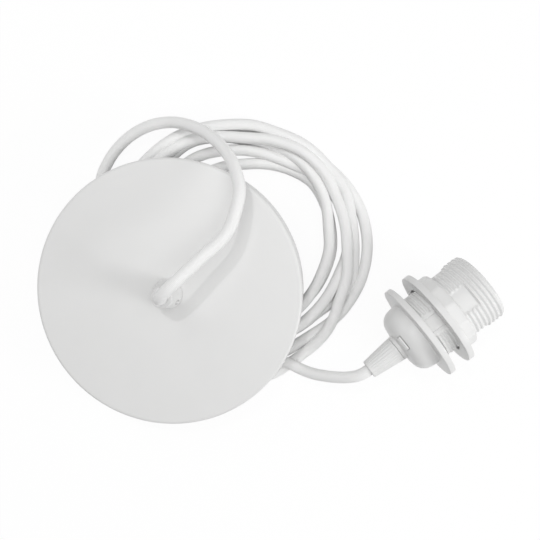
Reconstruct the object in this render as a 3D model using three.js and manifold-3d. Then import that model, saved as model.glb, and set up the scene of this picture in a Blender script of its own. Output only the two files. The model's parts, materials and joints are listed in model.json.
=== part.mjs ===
import * as THREE from 'three';
import { mergeVertices } from 'three/addons/utils/BufferGeometryUtils.js';
import Module from 'manifold-3d';

// Pendant cord set in millimetres, +Z up, lying on the plane z = 0.
// The lamp holder's axis runs along +X, and the ceiling rose lies face up on its open rim.

// Clearances
const GAP = 0.3;

// Cord
const CORD_RADIUS = 3.3;
const CORD_SIDES = 10;
const CORD_STEP = 8;
const CORE_RADIUS = 1.1;
const CORE_SIDES = 8;
const CORE_SPACING = 2.8;
const CORE_LEAD = 2.4;

// Ceiling rose, its own axis along local +Z with the open rim at local z = 0
const ROSE_X = -30;
const ROSE_Y = 28.1;
const ROSE_TILT = 7.3;
const ROSE_UPHILL = 20.6;
const ROSE_RADIUS = 72.5;
const ROSE_DEPTH = 24;
const ROSE_WALL = 2;
const ROSE_EDGE = 2;
const ROSE_SEGMENTS = 60;

// Cord grip of the rose
const GRIP_BASE_RADIUS = 8;
const GRIP_TOP_RADIUS = 5.6;
const GRIP_HEIGHT = 14;
const GRIP_LIP = 0.85;
const GRIP_WAIST = 5.3;
const GRIP_SEGMENTS = 24;
const GRIP_STUD_RADIUS = 5;
const GRIP_STUD_LENGTH = 10;
const GRIP_NUT_FLATS = 14;
const GRIP_NUT_HEIGHT = 5;
const GRIP_SCREW_RADIUS = 1.3;
const GRIP_SCREW_HEIGHT = 4.2;
const CORD_END_DROP = 4;

// Small screws
const SCREW_SEGMENTS = 12;
const SLOT_WIDTH = 0.5;
const SLOT_DEPTH = 0.6;

// Terminal block inside the rose
const BLOCK_LENGTH = 17;
const BLOCK_WIDTH = 20;
const BLOCK_HEIGHT = 13;
const BLOCK_PITCH = 9;
const BLOCK_NEAR_X = -35;
const BLOCK_FLOOR = 2.5;
const BLOCK_BORE_RISE = 5.5;
const BLOCK_WAIST_LENGTH = 4.2;
const BLOCK_WAIST_DEPTH = 2.6;
const SLEEVE_RADIUS = 2.3;
const SLEEVE_BORE = 1.5;
const SLEEVE_INSET = 0.5;
const SLEEVE_SEGMENTS = 16;
const CLAMP_SCREW_RADIUS = 1.3;
const CLAMP_SCREW_LENGTH = 3.2;
const CLAMP_SCREW_SPREAD = 9;

// Coil of cord on the floor
const COIL_X = 13.9;
const COIL_Y = 22;
const COIL_INNER = 44;
const COIL_OUTER = 73.3;
const COIL_EDGE = 1.2;

// Lamp holder, its own axis along local +Z from the cord's entry to the mouth, local +X up
const HOLDER_X = 28.1;
const HOLDER_Y = -71.5;
const RIM_RADIUS = 27.7;
const RIM_EDGE = 0.35;
const HOLDER_TURN = -12;
const HOLDER_SEGMENTS = 40;

// Ribbed cord grip nut
const NUT_LENGTH = 18.3;
const NUT_SMALL_RADIUS = 5.1;
const NUT_LARGE_RADIUS = 7.15;
const NUT_EDGE = 0.4;
const NUT_RIBS = 24;
const NUT_RIB_DEPTH = 0.25;
const NUT_CONE_START = 6.5;
const NUT_CONE_END = 9.5;
const NUT_CAVITY = 5.2;

// Collet
const COLLET_START = 7.6;
const COLLET_END = 17;
const COLLET_HEAD_END = 11.3;
const COLLET_HEAD_RADIUS = 4.75;
const COLLET_WALL = 0.35;
const COLLET_SEGMENTS = 24;

// Cap: neck, collar, dome and rear flange
const NECK_START = 11.7;
const NECK_RADIUS = 4.9;
const NECK_BORE = 4.25;
const COLLAR_RADIUS = 7.25;
const COLLAR_LENGTH = 2;
const DOME_RADIUS = 19.15;
const DOME_LENGTH = 12;
const DOME_WALL = 2.2;
const DOME_SQUARENESS = 2.8;
const DOME_STEPS = 7;
const DOME_INNER_STEPS = 4;
const NECK_SHOULDER = 1.5;
const SHEATH_MARGIN = 1.5;
const FLANGE_THICKNESS = 3.4;
const SHADE_SEAT_STEP = 0.6;

// Latch in the dome near the neck
const LATCH_WIDTH = 8.4;
const LATCH_INSET = 0.2;
const LATCH_LENGTH = 2.4;
const LATCH_TOP = 15.6;
const LATCH_THICKNESS = 2.6;
const LATCH_RAMP = 1;

// Barrel and its interrupted thread
const SKIRT_RADIUS = 16.2;
const SKIRT_LENGTH = 7.5;
const BARREL_RADIUS = 18.6;
const BARREL_LENGTH = 39.4;
const BARREL_BORE = 15;
const SEAT_BORE = 13.5;
const CARRIER_SEAT = 1.9;
const MOUTH_CHAMFER = 1;
const THREAD_RADIUS = 19.85;
const THREAD_PITCH = 2.55;
const THREAD_ROOT = 1.8;
const THREAD_SINK = 0.5;
const THREAD_MARGIN = 0.4;
const THREAD_SEGMENTS = 28;
const THREAD_FULL_TURNS = 3;
const THREAD_SECTORS = 4;
const SECTOR_STEPS = 4;
const MOUTH_RIM_LENGTH = 1.6;
const MOUTH_RIM_EDGE = 0.5;
const PANEL_WIDTH = 7.6;
const PANEL_LENGTH = 9.2;
const PANEL_DEPTH = 0.9;

// Shade ring
const RING_START = 8.8;
const RING_FLANGE = 3.6;
const RING_COLLAR_RADIUS = 22.1;
const RING_COLLAR_LENGTH = 7.2;
const RING_CHAMFER = 0.9;
const RING_CLEARANCE = 0.4;
const RING_RIBS = 6;
const RING_RIB_DEPTH = 0.5;
const RING_SEGMENTS = 36;

// Contacts
const CARRIER_THICKNESS = 7.5;
const CONTACT_SEGMENTS = 24;
const SHELL_LENGTH = 19.5;
const SHELL_RADIUS = 13.9;
const SHELL_WAVE = 0.8;
const SHELL_SHEET = 0.5;
const SHELL_PITCH = 3.6;
const SHELL_TURNS = 5;
const SHELL_LIP = 10.5;
const TONGUE_WIDTH = 5;
const TONGUE_SHEET = 0.6;
const TONGUE_RISE = 3.6;
const TONGUE_REACH = 8.5;
const TONGUE_BEND = 3.4;
const TONGUE_TIP = 2.2;
const POST_OFFSET = 8;
const POST_RISE = 5;
const POST_HEAD_RADIUS = 2.4;
const POST_HEAD_HEIGHT = 1.5;
const POST_SHANK_RADIUS = 1.3;
const POST_SHANK_LENGTH = 5;
const WIRE_ENTRY_DEPTH = 3;

// Finishes
const WHITE_PAINT = { color: 0xf1f1ef, roughness: 0.45, metalness: 0 };
const WHITE_PLASTIC = { color: 0xececea, roughness: 0.4, metalness: 0 };
const TEXTILE = { color: 0xf0f0ee, roughness: 0.9, metalness: 0 };
const GREY_PLASTIC = { color: 0xc9c9c4, roughness: 0.5, metalness: 0 };
const CERAMIC = { color: 0xe4ddce, roughness: 0.35, metalness: 0 };
const BRASS = { color: 0xc9a24a, roughness: 0.35, metalness: 1 };
const NICKEL = { color: 0xb9b7b0, roughness: 0.3, metalness: 1 };
const BROWN = { color: 0x6b3a1e, roughness: 0.5, metalness: 0 };
const BLUE = { color: 0x2f6fb5, roughness: 0.5, metalness: 0 };

// Route of the cord from inside the rose, up through its grip, over the face and down to the coil
const ARCH_ROUTE = [
  [-34.9, 26.2, 51.2],
  [-32.9, 26.2, 60.4],
  [-24.2, 27, 65.4],
  [-14.5, 28.2, 63.5],
  [-4.1, 29.5, 59.5],
  [6.3, 30.5, 55.5],
  [14.2, 32.7, 53],
  [23.2, 38.6, 51],
  [30.8, 45.6, 50],
  [34.4, 52.9, 47.5],
  [37.2, 62.8, 42],
  [37.6, 73.8, 35],
  [35.5, 84.9, 28],
  [31.1, 94.9, 22],
  [24.4, 103.1, 17.5],
  [14.7, 109.5, 13.5],
  [3.2, 112.9, 9.5],
  [-9.4, 112.8, 5.8],
  [-18.7, 110.1, 4.2],
  [-26.6, 105.6, 3.7],
  [-39.7, 91.7, 3.7],
  [-49.5, 75.8, 3.7],
  [-55.6, 59, 3.7],
  [-58.8, 48.4, 3.7],
];

// Route from the coil to the lamp holder
const TAIL_ROUTE = [
  [-4.4, -46.4, 10.4],
  [-0.6, -53.2, 12.2],
  [2.6, -57.4, 14.7],
  [6.8, -61.4, 18],
  [11.6, -65.3, 21.4],
  [16.7, -68.6, 24.6],
  [21.8, -70.8, 26.8],
  [26.6, -71.5, 27.6],
];

const wasm = await Module();
wasm.setup();

const degrees = THREE.MathUtils.degToRad;

function finish(look) {
  return new THREE.MeshStandardMaterial(look);
}

function piece(name, geometry, look) {
  const mesh = new THREE.Mesh(geometry, finish(look));
  mesh.name = name;
  return mesh;
}

// A profile of [radius, height] points turned about local +Z, its outside listed with height rising
function turned(profile, segments) {
  const points = profile.map(([radius, height]) => new THREE.Vector2(radius, height));
  return new THREE.LatheGeometry(points, segments).rotateX(Math.PI / 2);
}

function ring(profile, segments) {
  return turned([...profile, profile[0]], segments);
}

function sleeve(outer, inner, from, to, segments) {
  return ring([[inner, from], [outer, from], [outer, to], [inner, to]], segments);
}

function quarterArc(centreRadius, centreHeight, radius, from, to, steps) {
  const points = [];
  for (let step = 0; step <= steps; step += 1) {
    const angle = degrees(from + ((to - from) * step) / steps);
    points.push([
      centreRadius + radius * Math.cos(angle),
      centreHeight + radius * Math.sin(angle),
    ]);
  }
  return points;
}

// Draws the grooves between a turned skin's ribs inwards, where the skin carries ribs
function ribbed(geometry, ribs, depth, carriesRibs) {
  const position = geometry.attributes.position;
  const point = new THREE.Vector3();
  for (let index = 0; index < position.count; index += 1) {
    point.fromBufferAttribute(position, index);
    const radius = Math.hypot(point.x, point.y);
    const isGroove = Math.cos(Math.atan2(point.y, point.x) * ribs) < -1e-6;
    if (!isGroove || !carriesRibs(radius, point.z)) continue;
    const scale = 1 - depth / radius;
    position.setXY(index, point.x * scale, point.y * scale);
  }
  return geometry;
}

function solidOf(geometry) {
  const bare = new THREE.BufferGeometry();
  bare.setAttribute('position', geometry.attributes.position.clone());
  if (geometry.index) bare.setIndex(geometry.index.clone());
  const merged = mergeVertices(bare, 1e-4);
  const corners = merged.index.array;
  const kept = [];
  for (let index = 0; index < corners.length; index += 3) {
    const [a, b, c] = corners.subarray(index, index + 3);
    if (a !== b && b !== c && c !== a) kept.push(a, b, c);
  }
  return new wasm.Manifold(new wasm.Mesh({
    numProp: 3,
    vertProperties: new Float32Array(merged.attributes.position.array),
    triVerts: new Uint32Array(kept),
  }));
}

function geometryOf(solid) {
  const mesh = solid.getMesh();
  const geometry = new THREE.BufferGeometry();
  geometry.setAttribute('position', new THREE.BufferAttribute(mesh.vertProperties, 3));
  geometry.setIndex(new THREE.BufferAttribute(mesh.triVerts, 1));
  geometry.computeVertexNormals();
  return geometry;
}

function cut(body, ...tools) {
  let solid = solidOf(body);
  for (const tool of tools) solid = solid.subtract(solidOf(tool));
  return geometryOf(solid);
}

function fuse(body, ...parts) {
  let solid = solidOf(body);
  for (const part of parts) solid = solid.add(solidOf(part));
  return geometryOf(solid);
}

function rod(radius, length, segments) {
  return new THREE.CylinderGeometry(radius, radius, length, segments).rotateX(Math.PI / 2);
}

function circleShape(radius, sides) {
  const shape = new THREE.Shape();
  for (let side = 0; side < sides; side += 1) {
    const angle = (2 * Math.PI * side) / sides;
    const x = radius * Math.cos(angle);
    const y = radius * Math.sin(angle);
    if (side === 0) shape.moveTo(x, y);
    else shape.lineTo(x, y);
  }
  shape.closePath();
  return shape;
}

function tube(points, radius, sides, stepLength) {
  const path = new THREE.CatmullRomCurve3(points, false, 'centripetal');
  const steps = Math.ceil(path.getLength() / stepLength);
  const shape = circleShape(radius, sides);
  return new THREE.ExtrudeGeometry(shape, { steps, bevelEnabled: false, extrudePath: path });
}

function vectors(points) {
  return points.map(([x, y, z]) => new THREE.Vector3(x, y, z));
}

// Ceiling rose
const rose = new THREE.Group();
const roseRise = ROSE_RADIUS * Math.sin(degrees(ROSE_TILT));
rose.position.set(ROSE_X, ROSE_Y, roseRise);
rose.rotation.set(0, -degrees(ROSE_TILT), degrees(ROSE_UPHILL), 'ZYX');
rose.updateMatrixWorld(true);

const ceilingFace = ROSE_DEPTH - ROSE_WALL;
const studClearRadius = GRIP_STUD_RADIUS + GAP;
const gripBase = ROSE_DEPTH + GAP;
const gripBore = CORD_RADIUS + GAP;
const studEnd = gripBase - GRIP_STUD_LENGTH;
const gripTop = gripBase + GRIP_HEIGHT;
const cordEnd = studEnd - CORD_END_DROP;

function roseCup() {
  const inside = ROSE_RADIUS - ROSE_WALL;
  const edgeCentre = ROSE_RADIUS - ROSE_EDGE;
  const innerEdge = ROSE_WALL / 2;
  return ring([
    [inside, 0],
    [ROSE_RADIUS, 0],
    ...quarterArc(edgeCentre, ROSE_DEPTH - ROSE_EDGE, ROSE_EDGE, 0, 90, 4),
    [studClearRadius, ROSE_DEPTH],
    [studClearRadius, ceilingFace],
    [inside - innerEdge, ceilingFace],
    [inside, ceilingFace - innerEdge],
  ], ROSE_SEGMENTS);
}

function roseCordGrip() {
  const taper = GRIP_BASE_RADIUS - GRIP_TOP_RADIUS;
  const body = ring([
    [gripBore, studEnd],
    [GRIP_STUD_RADIUS, studEnd],
    [GRIP_STUD_RADIUS, gripBase],
    [GRIP_BASE_RADIUS, gripBase],
    [GRIP_BASE_RADIUS, gripBase + GRIP_LIP],
    [GRIP_BASE_RADIUS - taper / 2, gripBase + GRIP_WAIST],
    [GRIP_TOP_RADIUS, gripTop - GRIP_LIP],
    [GRIP_TOP_RADIUS - GAP, gripTop],
    [gripBore, gripTop],
  ], GRIP_SEGMENTS);
  const hole = rod(GRIP_SCREW_RADIUS + GAP, GRIP_BASE_RADIUS, SCREW_SEGMENTS).rotateX(Math.PI / 2);
  hole.translate(0, -GRIP_BASE_RADIUS / 2 - gripBore / 2, gripBase + GRIP_SCREW_HEIGHT);
  return cut(body, hole);
}

function roseGripNut() {
  const shape = circleShape(GRIP_NUT_FLATS / Math.sqrt(3), 6);
  shape.holes.push(circleShape(studClearRadius, 32));
  const nut = new THREE.ExtrudeGeometry(shape, { depth: GRIP_NUT_HEIGHT, bevelEnabled: false });
  return nut.translate(0, 0, ceilingFace - GAP - GRIP_NUT_HEIGHT);
}

function roseGripScrew() {
  const length = GRIP_BASE_RADIUS - gripBore - GAP;
  const screw = rod(GRIP_SCREW_RADIUS, length, SCREW_SEGMENTS).rotateX(Math.PI / 2);
  screw.translate(0, -gripBore - GAP - length / 2, gripBase + GRIP_SCREW_HEIGHT);
  const slot = new THREE.BoxGeometry(GRIP_SCREW_RADIUS * 3, 2 * SLOT_DEPTH, SLOT_WIDTH);
  slot.translate(0, -gripBore - GAP - length, gripBase + GRIP_SCREW_HEIGHT);
  return cut(screw, slot);
}

const blockCentreX = BLOCK_NEAR_X - BLOCK_LENGTH / 2;
const boreHeight = BLOCK_FLOOR + BLOCK_BORE_RISE;

function poles() {
  return [-BLOCK_PITCH / 2, BLOCK_PITCH / 2];
}

function clampScrewPlaces() {
  const places = [];
  for (const side of [-1, 1]) {
    for (const y of poles()) places.push([blockCentreX + (side * CLAMP_SCREW_SPREAD) / 2, y]);
  }
  return places;
}

function terminalBlock() {
  const block = new THREE.BoxGeometry(BLOCK_LENGTH, BLOCK_WIDTH, BLOCK_HEIGHT);
  block.translate(blockCentreX, 0, BLOCK_FLOOR + BLOCK_HEIGHT / 2);
  const bores = poles().map((y) => {
    const bore = rod(SLEEVE_RADIUS + GAP, BLOCK_LENGTH * 2, SLEEVE_SEGMENTS).rotateY(Math.PI / 2);
    return bore.translate(blockCentreX, y, boreHeight);
  });
  const wells = clampScrewPlaces().map(([x, y]) => {
    const well = rod(CLAMP_SCREW_RADIUS + GAP, BLOCK_HEIGHT, SCREW_SEGMENTS);
    return well.translate(x, y, boreHeight + BLOCK_HEIGHT / 2);
  });
  const waist = new THREE.BoxGeometry(BLOCK_WAIST_LENGTH, BLOCK_WIDTH * 2, 2 * BLOCK_WAIST_DEPTH);
  waist.translate(blockCentreX, 0, BLOCK_FLOOR + BLOCK_HEIGHT);
  return cut(block, ...bores, ...wells, waist);
}

function terminalSleeve(y) {
  const half = BLOCK_LENGTH / 2 - SLEEVE_INSET;
  const body = sleeve(SLEEVE_RADIUS, SLEEVE_BORE, -half, half, SLEEVE_SEGMENTS);
  return body.rotateY(Math.PI / 2).translate(blockCentreX, y, boreHeight);
}

function clampScrew([x, y]) {
  const bottom = boreHeight + SLEEVE_RADIUS + GAP;
  const screw = rod(CLAMP_SCREW_RADIUS, CLAMP_SCREW_LENGTH, SCREW_SEGMENTS);
  screw.translate(x, y, bottom + CLAMP_SCREW_LENGTH / 2);
  const slot = new THREE.BoxGeometry(CLAMP_SCREW_RADIUS * 3, SLOT_WIDTH, 2 * SLOT_DEPTH);
  slot.translate(x, y, bottom + CLAMP_SCREW_LENGTH);
  return cut(screw, slot);
}

function roseWire(side) {
  const y = (side * BLOCK_PITCH) / 2;
  const route = vectors([
    [0, (side * CORE_SPACING) / 2, cordEnd - GAP],
    [0, (side * CORE_SPACING) / 2, cordEnd - GAP - CORE_LEAD],
    [-3, side * 1.9, cordEnd - CORE_LEAD * 2],
    [-12, side * 3.2, boreHeight + 0.6],
    [-24, y, boreHeight],
    [BLOCK_NEAR_X + 2, y, boreHeight],
    [BLOCK_NEAR_X - WIRE_ENTRY_DEPTH, y, boreHeight],
  ]);
  return tube(route, CORE_RADIUS, CORE_SIDES, 3);
}

rose.add(piece('rose_cup', roseCup(), WHITE_PAINT));
rose.add(piece('rose_cord_grip', roseCordGrip(), WHITE_PLASTIC));
rose.add(piece('rose_grip_nut', roseGripNut(), WHITE_PLASTIC));
rose.add(piece('rose_grip_screw', roseGripScrew(), WHITE_PLASTIC));
rose.add(piece('terminal_block', terminalBlock(), GREY_PLASTIC));
rose.add(piece('terminal_sleeve_live', terminalSleeve(poles()[0]), BRASS));
rose.add(piece('terminal_sleeve_neutral', terminalSleeve(poles()[1]), BRASS));
clampScrewPlaces().forEach((place, index) => {
  rose.add(piece(`terminal_screw_${index + 1}`, clampScrew(place), NICKEL));
});
rose.add(piece('rose_wire_brown', roseWire(-1), BROWN));
rose.add(piece('rose_wire_blue', roseWire(1), BLUE));

// Cord
function alongRoseAxis(height) {
  return rose.localToWorld(new THREE.Vector3(0, 0, height));
}

function cordArch() {
  const inside = [cordEnd, (cordEnd + gripTop) / 2, gripTop].map(alongRoseAxis);
  return tube([...inside, ...vectors(ARCH_ROUTE)], CORD_RADIUS, CORD_SIDES, CORD_STEP);
}

function cordCoil() {
  const height = 2 * CORD_RADIUS;
  const coil = ring([
    [COIL_INNER + COIL_EDGE, 0],
    [COIL_OUTER - COIL_EDGE, 0],
    [COIL_OUTER, COIL_EDGE],
    [COIL_OUTER, height - COIL_EDGE],
    [COIL_OUTER - COIL_EDGE, height],
    [COIL_INNER + COIL_EDGE, height],
    [COIL_INNER, height - COIL_EDGE],
    [COIL_INNER, COIL_EDGE],
  ], 36);
  return coil.translate(COIL_X, COIL_Y, 0);
}

const sheathEnd = NUT_LENGTH + GAP + COLLAR_LENGTH + SHEATH_MARGIN;

function cordTail() {
  const axis = [0, sheathEnd / 2, sheathEnd].map((along) => [HOLDER_X + along, HOLDER_Y, RIM_RADIUS]);
  return tube(vectors([...TAIL_ROUTE, ...axis]), CORD_RADIUS, CORD_SIDES, CORD_STEP);
}

// Lamp holder
const holder = new THREE.Group();
holder.position.set(HOLDER_X, HOLDER_Y, RIM_RADIUS);
holder.rotation.set(0, Math.PI / 2, Math.PI);

const cordBore = CORD_RADIUS + GAP;
const collarStart = NUT_LENGTH + GAP;
const domeStart = collarStart + COLLAR_LENGTH;
const flangeBack = domeStart + DOME_LENGTH;
const flangeFront = flangeBack + FLANGE_THICKNESS;
const barrelStart = flangeFront + GAP;
const barrelEnd = barrelStart + BARREL_LENGTH;
const skirtStart = barrelStart - SKIRT_LENGTH;
const socketBore = SKIRT_RADIUS + GAP;
const seat = barrelStart + CARRIER_SEAT;
const carrierBack = seat + GAP;
const carrierFront = carrierBack + CARRIER_THICKNESS;
const shellStart = carrierFront + GAP;
const ringBore = THREAD_RADIUS + RING_CLEARANCE;
const featureTurn = degrees(HOLDER_TURN);

function holderCordGrip() {
  const shell = ring([
    [cordBore, 0],
    [NUT_SMALL_RADIUS - NUT_EDGE, 0],
    [NUT_SMALL_RADIUS, NUT_EDGE],
    [NUT_LARGE_RADIUS, NUT_LENGTH - NUT_EDGE],
    [NUT_LARGE_RADIUS - NUT_EDGE, NUT_LENGTH],
    [NUT_CAVITY, NUT_LENGTH],
    [NUT_CAVITY, NUT_CONE_END],
    [cordBore, NUT_CONE_START],
  ], NUT_RIBS * 2);
  const growth = (NUT_LARGE_RADIUS - NUT_SMALL_RADIUS) / NUT_LENGTH;
  const onTaper = (radius, height) => radius > NUT_SMALL_RADIUS + growth * height - GAP;
  return ribbed(shell, NUT_RIBS, NUT_RIB_DEPTH, onTaper);
}

function holderCollet() {
  const tailRadius = cordBore + COLLET_WALL;
  return ring([
    [cordBore, COLLET_START],
    [tailRadius, COLLET_START],
    [COLLET_HEAD_RADIUS, NUT_CONE_END - GAP / 2],
    [COLLET_HEAD_RADIUS, COLLET_HEAD_END],
    [tailRadius, COLLET_HEAD_END],
    [tailRadius, COLLET_END],
    [cordBore, COLLET_END],
  ], COLLET_SEGMENTS);
}

// Quarter of a superellipse, from the neck's shoulder out to the rim
function domeCurve(startRadius, endRadius, start, length, steps) {
  const power = 2 / DOME_SQUARENESS;
  const points = [];
  for (let step = 0; step <= steps; step += 1) {
    const angle = (Math.PI / 2) * (step / steps);
    const fall = step === steps ? 0 : Math.cos(angle) ** power;
    points.push([
      startRadius + (endRadius - startRadius) * Math.sin(angle) ** power,
      start + length * (1 - fall),
    ]);
  }
  return points;
}

function latchWindow() {
  const opening = new THREE.BoxGeometry(DOME_RADIUS, LATCH_WIDTH, LATCH_LENGTH);
  const floor = LATCH_TOP - LATCH_THICKNESS - GAP;
  opening.translate(floor + DOME_RADIUS / 2, 0, domeStart + LATCH_INSET + LATCH_LENGTH / 2);
  return opening.rotateZ(featureTurn);
}

function holderCap() {
  const innerStart = domeStart + DOME_WALL;
  const socketFloor = skirtStart - GAP;
  const innerLength = socketFloor - innerStart;
  const innerShoulder = NECK_BORE + NECK_SHOULDER;
  const innerDome = domeCurve(innerShoulder, socketBore, innerStart, innerLength, DOME_INNER_STEPS);
  const cap = ring([
    [NECK_BORE, NECK_START],
    [NECK_RADIUS, NECK_START],
    [NECK_RADIUS, collarStart],
    [COLLAR_RADIUS, collarStart],
    ...domeCurve(COLLAR_RADIUS, DOME_RADIUS, domeStart, DOME_LENGTH, DOME_STEPS),
    [RIM_RADIUS - RIM_EDGE, flangeBack],
    [RIM_RADIUS, flangeBack + RIM_EDGE],
    [RIM_RADIUS, flangeFront - RIM_EDGE],
    [RIM_RADIUS - RIM_EDGE, flangeFront],
    [ringBore, flangeFront],
    [ringBore - SHADE_SEAT_STEP, flangeFront - SHADE_SEAT_STEP],
    [socketBore, flangeFront - SHADE_SEAT_STEP],
    ...innerDome.reverse(),
    [NECK_BORE, innerStart],
  ], HOLDER_SEGMENTS);
  return cut(cap, latchWindow());
}

function capLatch() {
  const width = LATCH_WIDTH - 2 * GAP;
  const length = LATCH_LENGTH - 2 * GAP;
  const shape = new THREE.Shape();
  shape.moveTo(0, 0);
  shape.lineTo(length, 0);
  shape.lineTo(length, LATCH_THICKNESS);
  shape.lineTo(LATCH_RAMP, LATCH_THICKNESS);
  shape.lineTo(0, LATCH_THICKNESS - LATCH_RAMP);
  shape.closePath();
  const latch = new THREE.ExtrudeGeometry(shape, { depth: width, bevelEnabled: false });
  latch.translate(0, 0, -width / 2);
  latch.applyMatrix4(new THREE.Matrix4().makeBasis(
    new THREE.Vector3(0, 0, 1),
    new THREE.Vector3(1, 0, 0),
    new THREE.Vector3(0, 1, 0),
  ));
  latch.translate(LATCH_TOP - LATCH_THICKNESS, 0, domeStart + LATCH_INSET + GAP);
  return latch.rotateZ(featureTurn);
}

// One arc of thread: a triangle carried along a helix, its root sunk in the barrel
function threadArc(startAngle, steps, startHeight) {
  const sunk = BARREL_RADIUS - THREAD_SINK;
  const corners = [
    [sunk, -THREAD_ROOT / 2],
    [THREAD_RADIUS, 0],
    [sunk, THREAD_ROOT / 2],
  ];
  const stepAngle = (2 * Math.PI) / THREAD_SEGMENTS;
  const position = [];
  for (let step = 0; step <= steps; step += 1) {
    const angle = startAngle + step * stepAngle;
    const height = startHeight + (THREAD_PITCH * step) / THREAD_SEGMENTS;
    for (const [radius, offset] of corners) {
      position.push(radius * Math.cos(angle), radius * Math.sin(angle), height + offset);
    }
  }
  const sides = corners.length;
  const index = [0, 1, 2];
  for (let step = 0; step < steps; step += 1) {
    for (let side = 0; side < sides; side += 1) {
      const a = step * sides + side;
      const b = step * sides + ((side + 1) % sides);
      index.push(a, a + sides, b, b, a + sides, b + sides);
    }
  }
  const last = steps * sides;
  index.push(last, last + 2, last + 1);
  const geometry = new THREE.BufferGeometry();
  geometry.setAttribute('position', new THREE.Float32BufferAttribute(position, 3));
  geometry.setIndex(index);
  return geometry;
}

const threadEnd = barrelEnd - MOUTH_RIM_LENGTH - THREAD_ROOT / 2;
const halfStep = Math.PI / THREAD_SEGMENTS;

// Full turns at the mouth, and behind them turns that are broken by plain strips
function barrelThread() {
  const fullStart = threadEnd - THREAD_PITCH * THREAD_FULL_TURNS;
  const room = fullStart - barrelStart - THREAD_MARGIN - THREAD_ROOT / 2;
  const brokenTurns = Math.floor(room / THREAD_PITCH);
  const sectorAngle = (2 * Math.PI) / THREAD_SECTORS;
  const arcAngle = (2 * Math.PI * SECTOR_STEPS) / THREAD_SEGMENTS;
  const arcs = [];
  for (let turn = -brokenTurns; turn < 0; turn += 1) {
    for (let sector = 0; sector < THREAD_SECTORS; sector += 1) {
      const angle = (sector + 0.5) * sectorAngle - arcAngle / 2;
      const height = fullStart + THREAD_PITCH * (turn + (angle - halfStep) / (2 * Math.PI));
      arcs.push(threadArc(angle, SECTOR_STEPS, height));
    }
  }
  arcs.push(threadArc(halfStep, THREAD_FULL_TURNS * THREAD_SEGMENTS, fullStart));
  return arcs;
}

function holderBarrel() {
  const barrel = ring([
    [SEAT_BORE, skirtStart],
    [SKIRT_RADIUS, skirtStart],
    [SKIRT_RADIUS, barrelStart],
    [BARREL_RADIUS, barrelStart],
    [BARREL_RADIUS, barrelEnd - MOUTH_RIM_LENGTH],
    [THREAD_RADIUS, barrelEnd - MOUTH_RIM_LENGTH / 2],
    [THREAD_RADIUS, barrelEnd - MOUTH_RIM_EDGE],
    [THREAD_RADIUS - MOUTH_RIM_EDGE, barrelEnd],
    [BARREL_BORE + MOUTH_CHAMFER, barrelEnd],
    [BARREL_BORE, barrelEnd - MOUTH_CHAMFER],
    [BARREL_BORE, seat],
    [SEAT_BORE, seat],
  ], THREAD_SEGMENTS).rotateZ(halfStep);
  const panels = [-1, 1].map((side) => {
    const panel = new THREE.BoxGeometry(2 * PANEL_DEPTH, PANEL_WIDTH, PANEL_LENGTH);
    return panel.translate(side * BARREL_RADIUS, 0, barrelStart + PANEL_LENGTH / 2);
  });
  return cut(fuse(barrel, ...barrelThread()), ...panels).rotateZ(featureTurn);
}

function shadeRing() {
  const back = flangeFront + RING_START;
  const front = back + RING_FLANGE;
  const end = front + RING_COLLAR_LENGTH;
  const body = ring([
    [ringBore, back],
    [RIM_RADIUS - RIM_EDGE, back],
    [RIM_RADIUS, back + RIM_EDGE],
    [RIM_RADIUS, front - RIM_EDGE],
    [RIM_RADIUS - RIM_EDGE, front],
    [RING_COLLAR_RADIUS, front],
    [RING_COLLAR_RADIUS, end - RING_CHAMFER],
    [RING_COLLAR_RADIUS - RING_CHAMFER, end],
    [ringBore, end],
  ], RING_SEGMENTS);
  const onCollar = (radius) => radius > ringBore + GAP && radius < RING_COLLAR_RADIUS + GAP;
  return ribbed(body, RING_RIBS, RING_RIB_DEPTH, onCollar);
}

function contactCarrier() {
  const disc = rod(BARREL_BORE - GAP, CARRIER_THICKNESS, CONTACT_SEGMENTS);
  disc.translate(0, 0, (carrierBack + carrierFront) / 2);
  const holes = [];
  for (const side of [-1, 1]) {
    const entry = rod(CORE_RADIUS + GAP, 2 * (WIRE_ENTRY_DEPTH + GAP), SCREW_SEGMENTS);
    holes.push(entry.translate(0, side * POST_OFFSET, carrierBack));
    const post = rod(POST_SHANK_RADIUS + GAP, 2 * (POST_SHANK_LENGTH + GAP), SCREW_SEGMENTS);
    holes.push(post.translate(POST_RISE, side * POST_OFFSET, carrierBack));
  }
  return cut(disc, ...holes);
}

function screwShell() {
  const outside = [];
  const start = shellStart + SHELL_SHEET;
  for (let step = 0; step <= SHELL_TURNS * 2; step += 1) {
    const low = step % 2 === 0;
    outside.push([low ? SHELL_RADIUS - SHELL_WAVE : SHELL_RADIUS, start + (SHELL_PITCH / 2) * step]);
  }
  const mouth = shellStart + SHELL_LENGTH;
  const inside = outside.map(([radius, height]) => [radius - SHELL_SHEET, height]);
  return ring([
    [SHELL_LIP, shellStart],
    [SHELL_RADIUS - SHELL_WAVE, shellStart],
    ...outside,
    [SHELL_RADIUS, mouth],
    [SHELL_RADIUS - SHELL_SHEET, mouth],
    ...inside.reverse(),
    [SHELL_LIP, start],
  ], CONTACT_SEGMENTS);
}

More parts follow.
